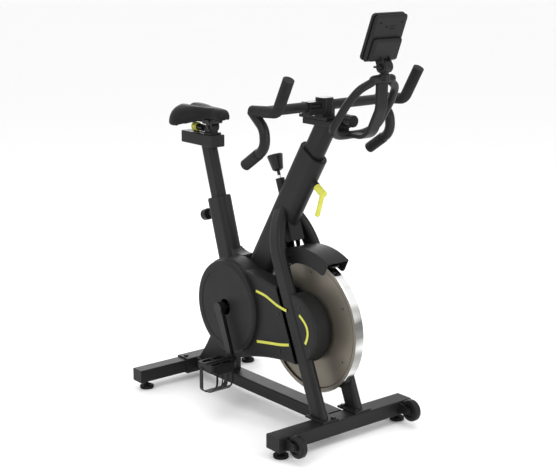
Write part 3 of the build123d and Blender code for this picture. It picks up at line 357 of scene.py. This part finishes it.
POWDER = powder_coat()
BRAKE_KNOB = split_plastic("brake_knob_and_rod", "Z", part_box("brake_knob")[1].z - KNOB_HEIGHT, BLACK_TONE,
                           STEEL_TONE, 1.0)
SADDLE_KNOB = split_plastic("saddle_knob_and_hub", "X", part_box("saddle_knob")[0].x + SADDLE_KNOB_GRIP,
                            BLACK_TONE, LIME_TONE)
COVER_PLASTIC = moulded_plastic("cover_plastic", 0.0125, 0.50)
KNOB_PLASTIC = moulded_plastic("knob_plastic", 0.007, 0.24, 1800, 0.0001)
CONSOLE_PLASTIC = moulded_plastic("console_plastic", 0.011, 0.44)
DARK_METAL = bright_steel("dark_metal", 0.045, 0.40, (1, 8, 1))
PEDAL_METAL = moulded_plastic("pedal_cage", 0.006, 0.42, 900)
RUBBER = rubber("foot_rubber", 0.009)
WHEEL_PLASTIC = moulded_plastic("wheel_plastic", 0.009, 0.42)
STEEL = bright_steel("bright_steel", 0.78, 0.20, (1, 1, 30))
ALUMINIUM = bright_steel("pulley_aluminium", 0.62, 0.32, (1, 20, 1))
IRON = flywheel_iron()
LIME = lime_plastic()
LEATHER = saddle_leather()
GRIP = grip_foam()
BELT = belt_rubber()
SCREEN = screen_glass()
BUTTON = moulded_plastic("button_grey", 0.06, 0.45)

FINISHES = {
    POWDER: ("front_stabiliser", "rear_stabiliser", "lower_tube", "wheel_brackets", "seat_tube", "head_tube",
             "rear_upright", "fork_legs", "frame_plates", "brake_bracket", "seat_post", "seat_rail",
             "handlebar_post", "handlebar_rail", "console_bracket", "handlebar", "handlebar_slider",
             "bottom_bracket", "flywheel_guard", "saddle_carriage"),
    COVER_PLASTIC: ("drive_cover_rear", "drive_cover_front", "left_cover"),
    KNOB_PLASTIC: ("seat_pin", "handlebar_slide_knob", "bar_clamp", "console_screw",
                   "stabiliser_end_caps", "post_bushes"),
    CONSOLE_PLASTIC: ("console_back", "console_front", "console_knuckle", "saddle_base"),
    DARK_METAL: ("fasteners", "crank_arms", "saddle_rails", "brake_shoe"),
    PEDAL_METAL: ("pedal_left", "pedal_right"),
    RUBBER: ("foot_front_left", "foot_front_right", "foot_rear_left", "foot_rear_right"),
    WHEEL_PLASTIC: ("wheel_left", "wheel_right"),
    STEEL: ("crank_spindle_and_pedal_axles", "flywheel_axle"),
    ALUMINIUM: ("crank_pulley", "flywheel_pulley"),
    IRON: ("flywheel",),
    LIME: ("height_lever",),
    BRAKE_KNOB: ("brake_knob",),
    SADDLE_KNOB: ("saddle_knob",),
    LEATHER: ("saddle_cushion",),
    GRIP: ("handlebar_grips",),
    BELT: ("drive_belt",),
    SCREEN: ("console_screen",),
    BUTTON: ("console_button_left", "console_button_right"),
}
for material, names in FINISHES.items():
    for name in names:
        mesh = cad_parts[name].data
        mesh.materials.clear()
        mesh.materials.append(material)


# ---------------------------------------------------------------- mesh helpers
def new_piece(name, points, faces, material, smooth=True):
    """A mesh object in the scene from points and faces."""
    mesh = bpy.data.meshes.new(name)
    mesh.from_pydata([tuple(point) for point in points], [], faces)
    mesh.materials.append(material)
    mesh.polygons.foreach_set("use_smooth", [smooth] * len(mesh.polygons))
    mesh.update()
    piece = bpy.data.objects.new(name, mesh)
    bpy.context.scene.collection.objects.link(piece)
    return piece


def smooth_line(points, count=24):
    """Points read along a smooth curve through the given control points."""
    curve = bpy.data.curves.new("guide", "CURVE")
    curve.dimensions = "3D"
    spline = curve.splines.new("NURBS")
    spline.points.add(len(points) - 1)
    for target, point in zip(spline.points, points):
        target.co = (*point, 1.0)
    spline.order_u = 3
    spline.use_endpoint_u = True
    spline.resolution_u = max(2, count // max(1, len(points) - 1))
    guide = bpy.data.objects.new("guide", curve)
    line = [vertex.co.copy() for vertex in bpy.data.meshes.new_from_object(guide).vertices]
    bpy.data.objects.remove(guide)
    return line


# ---------------------------------------------------------------- saddle
SEAT_LOW, SEAT_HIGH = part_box("saddle_cushion")
SADDLE_LENGTH = SEAT_HIGH.x - SEAT_LOW.x
SADDLE_HALF = SEAT_HIGH.y
BASE_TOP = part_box("saddle_base")[1].z


def between(share, stops):
    """Smooth value through (share, value) stops, each slope taken from the stops on either side."""
    last = len(stops) - 1
    slopes = []
    for index in range(last + 1):
        (start, low), (end, high) = stops[max(index - 1, 0)], stops[min(index + 1, last)]
        slopes.append((high - low) / (end - start))
    index = 0
    while index < last - 1 and share > stops[index + 1][0]:
        index += 1
    (start, low), (end, high) = stops[index], stops[index + 1]
    length = end - start
    part = min(max((share - start) / length, 0.0), 1.0)
    ease = part * part * (3 - 2 * part)
    rise = part * (1 - part) ** 2 * slopes[index] - part * part * (1 - part) * slopes[index + 1]
    return low + (high - low) * ease + length * rise


# Share of the way from the rear to the nose, and the value there.
HALF_WIDTH = ((0.0, 0.56), (0.04, 0.80), (0.12, 0.95), (0.22, 0.98), (0.36, 0.86), (0.56, 0.50),
              (0.75, 0.34), (0.92, 0.29), (1.0, 0.15))
CROWN = ((0.0, 0.74), (0.04, 0.93), (0.11, 1.02), (0.2, 1.04), (0.45, 1.01), (0.75, 1.03), (0.93, 1.02),
         (1.0, 0.86))
SKIRT = ((0.0, 0.16), (0.08, 0.05), (0.24, 0.03), (0.42, 0.26), (0.60, 0.46), (0.8, 0.54), (1.0, 0.56))
GROOVE = ((0.0, 0.008), (0.2, 0.010), (0.5, 0.006), (0.75, 0.002), (1.0, 0.0))
WALL = 0.011                        # thickness of the pad's hanging sides
EDGE_ROLL = 0.006                   # rounding where the sides meet the skirt and the hollow beneath
BASE_GAP = 0.0012                   # between the pad's hollow and the base plate
GROOVE_SPREAD = 0.014               # half width of the middle groove
NOTCH = 0.013                       # depth of the rear edge's notch, and its half width
NOTCH_SPREAD = 0.018
NOTCH_END = 0.14                    # share of the length where the notch has faded out
STATIONS = 46
ROUND = 64


def saddle_point(share, angle):
    """A point of the saddle's skin; angle runs round the section from its left edge over the top."""
    side = cos(angle)
    width = between(share, HALF_WIDTH) * SADDLE_HALF
    height = SEAT_HIGH.z - SEAT_LOW.z
    crown = SEAT_LOW.z + between(share, CROWN) * height
    skirt = SEAT_LOW.z + between(share, SKIRT) * height
    y = width * side
    bend = max(0.0, 1 - abs(side) ** 3.3) ** 0.5
    middle = skirt + EDGE_ROLL
    if sin(angle) >= 0:
        z = middle + (crown - middle) * bend - between(share, GROOVE) * exp(-(y / GROOVE_SPREAD) ** 2)
    else:
        inside = max(0.0, width - WALL)
        roof = max(BASE_TOP + BASE_GAP, middle)
        rise = min(1.0, max(0.0, (inside - abs(y)) / EDGE_ROLL))
        rise = rise * rise * (3 - 2 * rise)
        edge = skirt - 0.001 + 0.007 * abs(side) ** 14
        z = edge + (roof - edge) * rise
    x = SEAT_LOW.x - 0.002 + share * (SADDLE_LENGTH + 0.001)
    x += NOTCH * exp(-(y / NOTCH_SPREAD) ** 2) * max(0.0, 1 - share / NOTCH_END)
    return Vector((x, y, z))


def saddle_shell():
    """The pad before it is puffed up."""
    points, faces = [], []
    for station in range(STATIONS):
        share = station / (STATIONS - 1)
        for step in range(ROUND):
            points.append(saddle_point(share, 2 * pi * step / ROUND))
    for station in range(STATIONS - 1):
        for step in range(ROUND):
            turn = (step + 1) % ROUND
            low, high = station * ROUND, (station + 1) * ROUND
            faces.append((low + step, low + turn, high + turn, high + step))
    faces.append(tuple(range(ROUND))[::-1])
    faces.append(tuple(range((STATIONS - 1) * ROUND, STATIONS * ROUND)))
    return new_piece("saddle_cover", points, faces, LEATHER)


def apply_modifiers(piece):
    """Replaces a piece's mesh by what its modifiers make of it."""
    graph = bpy.context.evaluated_depsgraph_get()
    mesh = bpy.data.meshes.new_from_object(piece.evaluated_get(graph))
    piece.modifiers.clear()
    piece.data = mesh


PUFF = 0.006                        # furthest that the simulation may move a point
VOXEL = 0.004
PRESSURE = 4.0
LAST_FRAME = 20
CREST_RISE = 0.006                  # highest that the cover may stand above its CAD solid


def puff(piece):
    """Voxel remesh, then a short cloth simulation under pressure, each point's travel capped."""
    remesh = piece.modifiers.new("remesh", "REMESH")
    remesh.mode = "VOXEL"
    remesh.voxel_size = VOXEL
    remesh.use_smooth_shade = True
    apply_modifiers(piece)
    rest = [vertex.co.copy() for vertex in piece.data.vertices]
    cloth = piece.modifiers.new("cloth", "CLOTH")
    cloth.settings.use_pressure = True
    cloth.settings.uniform_pressure_force = PRESSURE
    cloth.settings.effector_weights.gravity = 0.0
    cloth.settings.quality = 5
    scene = bpy.context.scene
    for number in range(1, LAST_FRAME + 1):
        scene.frame_set(number)
    apply_modifiers(piece)
    scene.frame_set(1)
    for vertex, start in zip(piece.data.vertices, rest):
        travel = vertex.co - start
        if travel.length > PUFF:
            vertex.co = start + travel * (PUFF / travel.length)
    settle = piece.modifiers.new("settle", "SMOOTH")
    settle.factor = 0.5
    settle.iterations = 4
    finer = piece.modifiers.new("finer", "SUBSURF")
    finer.levels = finer.render_levels = 1
    apply_modifiers(piece)
    for vertex in piece.data.vertices:
        vertex.co.x = min(max(vertex.co.x, SEAT_LOW.x), SEAT_HIGH.x)
        vertex.co.z = min(vertex.co.z, SEAT_HIGH.z + CREST_RISE)
    piece.data.polygons.foreach_set("use_smooth", [True] * len(piece.data.polygons))
    piece.data.materials.clear()
    piece.data.materials.append(LEATHER)


saddle = saddle_shell()
puff(saddle)
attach(saddle, "saddle")
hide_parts("saddle_cushion")


# ---------------------------------------------------------------- cover stripes
def ribbon(name, line, half_width, thick, material):
    """Flat raised strip on the cover's outer face, along a line in the side view."""
    points, faces = [], []
    for index, centre in enumerate(line):
        before, after = line[max(index - 1, 0)], line[min(index + 1, len(line) - 1)]
        along = (after - before).normalized()
        across = Vector((-along.z, 0, along.x))
        for shift, lift in ((-1, 0), (-0.9, 1), (0.9, 1), (1, 0)):
            points.append(centre + across * (shift * half_width) - Vector((0, lift * thick, 0)))
    for index in range(len(line) - 1):
        low, high = index * 4, index * 4 + 4
        for edge in range(3):
            faces.append((low + edge, low + edge + 1, high + edge + 1, high + edge))
        faces.append((low + 3, low, high, high + 3))
    faces.append((3, 2, 1, 0))
    last = (len(line) - 1) * 4
    faces.append((last, last + 1, last + 2, last + 3))
    return new_piece(name, points, faces, material, smooth=False)


# Points of each stripe, from the flywheel's axle, in metres (x, z).
STRIPES = {
    "cover_stripe_upper": ((-0.172, 0.083), (-0.130, 0.080), (-0.095, 0.068), (-0.060, 0.057),
                           (-0.024, 0.053)),
    "cover_stripe_lower": ((-0.168, -0.080), (-0.110, -0.070), (-0.050, -0.062), (-0.012, -0.052)),
    "cover_stripe_front": ((0.036, 0.053), (0.062, 0.038), (0.077, 0.012), (0.073, -0.014), (0.064, -0.030)),
}
for name, spots in STRIPES.items():
    line = smooth_line([(FLY_AXIS[0] + x, COVER_FACE_Y + 0.0002, FLY_AXIS[1] + z) for x, z in spots], 30)
    stripe = ribbon(name, line, 0.0045, 0.0007, LIME)
    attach(stripe, "frame")


# ---------------------------------------------------------------- small details
def touch(node, start, way):
    """Where a ray meets a CAD node, and the node's normal there."""
    hit, place, normal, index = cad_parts[node].ray_cast(Vector(start), Vector(way))
    if not hit:
        raise RuntimeError("no surface of " + node + " on this ray")
    return place, normal


def across_from(normal):
    """Two directions in a face: level, and upward."""
    level = Vector((0, 0, 1)).cross(normal).normalized()
    return level, normal.cross(level)


def turned(name, place, axis, profile, material, sides=28):
    """Lathe-turned piece on a face; profile holds (radius, height) points from the edge to the middle."""
    level, upward = across_from(axis)
    points, faces = [], []
    for radius, height in profile:
        for side in range(sides):
            angle = 2 * pi * side / sides
            points.append(place + (level * cos(angle) + upward * sin(angle)) * radius + axis * height)
    for ring in range(len(profile) - 1):
        for side in range(sides):
            turn = (side + 1) % sides
            low, high = ring * sides, (ring + 1) * sides
            faces.append((low + side, low + turn, high + turn, high + side))
    faces.append(tuple(range(sides))[::-1])
    faces.append(tuple(range(len(points) - sides, len(points))))
    return new_piece(name, points, faces, material, smooth=False)


def raised_plates(name, place, normal, plates, thick, material):
    """Thin plates on a face; each is (level, upward, half width, half height) from the place."""
    level, upward = across_from(normal)
    points, faces = [], []
    for right, rise, half_width, half_height in plates:
        first = len(points)
        for lift, shrink in ((0.00005, 0.0), (thick, 0.15)):
            for side, top in ((-1, -1), (1, -1), (1, 1), (-1, 1)):
                inset = shrink * min(half_width, half_height)
                points.append(place + level * (right + side * (half_width - inset))
                              + upward * (rise + top * (half_height - inset)) + normal * lift)
        faces.append((first + 3, first + 2, first + 1, first))
        faces.append((first + 4, first + 5, first + 6, first + 7))
        for edge in range(4):
            turn = (edge + 1) % 4
            faces.append((first + edge, first + turn, first + 4 + turn, first + 4 + edge))
    return new_piece(name, points, faces, material, smooth=False)


# A screw: raised rim, dished face and a small boss in the middle.
SCREW = ((0.0036, 0.00005), (0.0034, 0.0007), (0.0028, 0.0008), (0.0026, 0.0002), (0.0012, 0.0002),
         (0.0010, 0.0006))
SCREW_PLACES = ((-0.040, 0.040), (0.040, 0.040), (-0.014, 0.028), (0.044, -0.004))    # aside, above
SCREW_DROP = 0.062                  # from the console's top to the height that "above" counts from
PORT_ASIDE = 0.010
PORT_DROP = 0.036                   # from the console's top to the port
RAY_START = 0.2                     # how far outside a node its rays start
back_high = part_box("console_back")[1]
for number, (aside, above) in enumerate(SCREW_PLACES):
    middle_z = back_high.z - SCREW_DROP
    place, normal = touch("console_back", (back_high.x + RAY_START, aside, middle_z + above), (-1, 0, 0))
    screw = turned("console_screw_" + str(number + 1), place, normal, SCREW, KNOB_PLASTIC)
    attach(screw, "console")
port_spot = (back_high.x + RAY_START, PORT_ASIDE, back_high.z - PORT_DROP)
place, normal = touch("console_back", port_spot, (-1, 0, 0))
port = raised_plates("console_port", place, normal,
                     ((-0.0075, 0, 0.001, 0.006), (0.0075, 0, 0.001, 0.006), (0, 0.005, 0.0065, 0.001),
                      (0, -0.005, 0.0065, 0.001), (0, 0, 0.0016, 0.0022)), 0.0009, KNOB_PLASTIC)
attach(port, "console")

# Seven-segment figures on the display, all showing eights, over a row of short bars.
SEGMENTS = ((0, 1, 0.7, 0.12), (0, 0, 0.7, 0.12), (0, -1, 0.7, 0.12), (-0.8, 0.5, 0.12, 0.4),
            (0.8, 0.5, 0.12, 0.4), (-0.8, -0.5, 0.12, 0.4), (0.8, -0.5, 0.12, 0.4))
screen_low, screen_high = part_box("console_screen")
middle = (screen_low + screen_high) / 2
place, normal = touch("console_screen", (screen_low.x - RAY_START, middle.y, middle.z), (1, 0, 0))
screen_half = (screen_high.z - screen_low.z) / 2
plates = []
for row, size in ((0.58, 0.0050), (0.06, 0.0034), (-0.40, 0.0034)):
    for column in (-2.4, -0.8, 0.8, 2.4):
        for right, rise, half_width, half_height in SEGMENTS:
            plates.append((column * 0.0085 + right * size * 0.62, row * screen_half + rise * size,
                           half_width * size * 0.62, half_height * size))
for step in range(12):
    plates.append(((step - 5.5) * 0.0046, -0.74 * screen_half, 0.0015, 0.0012))
figures = raised_plates("screen_figures", place, normal, plates, 0.00025, KNOB_PLASTIC)
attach(figures, "console")

# ---------------------------------------------------------------- floor, light and camera
def floor_finish():
    finish = Finish("studio_floor", Specular_IOR_Level=0.1)
    finish.colour(finish.ramp(finish.noise(0.6, 2), (0.2, (0.955,) * 3), (0.8, (0.965,) * 3)))
    finish.rough(finish.spread(finish.noise(2, 2), 0.55, 0.65))
    return finish.done()


half = FLOOR_SIZE / 2
floor = new_piece("floor", [(-half, -half, 0), (half, -half, 0), (half, half, 0), (-half, half, 0)],
                  [(0, 1, 2, 3)], floor_finish(), smooth=False)


def softbox(name, place, aim, size, power):
    """Rectangular area light at a place, aimed at a point."""
    light = bpy.data.lights.new(name, "AREA")
    light.shape = "RECTANGLE"
    light.size, light.size_y = size
    light.energy = power
    lamp = bpy.data.objects.new(name, light)
    lamp.location = place
    lamp.rotation_euler = (Vector(aim) - Vector(place)).to_track_quat("-Z", "Y").to_euler()
    bpy.context.scene.collection.objects.link(lamp)


MIDDLE = (cad_low + cad_high) / 2
softbox("key", (1.2, -3.2, 2.6), MIDDLE, (1.6, 2.2), 42)
softbox("front_strip", (3.6, 0.7, 1.3), MIDDLE, (0.4, 2.4), 40)
softbox("top", (0.2, 0.2, 3.4), MIDDLE, (2.4, 2.4), 30)
softbox("rear_fill", (-2.8, 1.6, 1.8), MIDDLE, (1.8, 2.0), 22)

world = bpy.data.worlds.new("studio")
bpy.context.scene.world = world
world.use_nodes = True
background = world.node_tree.nodes["Background"]
background.inputs["Color"].default_value = (1.0, 1.0, 1.0, 1.0)
background.inputs["Strength"].default_value = 1.0
bpy.context.scene.view_settings.view_transform = "Standard"

camera = bpy.data.objects.new("camera", bpy.data.cameras.new("camera"))
camera.location = CAMERA_PLACE
camera.rotation_euler = Euler((radians(90 - CAMERA_DROP), 0, radians(CAMERA_TURN)))
camera.data.lens = CAMERA_LENS
camera.data.sensor_width = 36
bpy.context.scene.collection.objects.link(camera)
bpy.context.scene.camera = camera
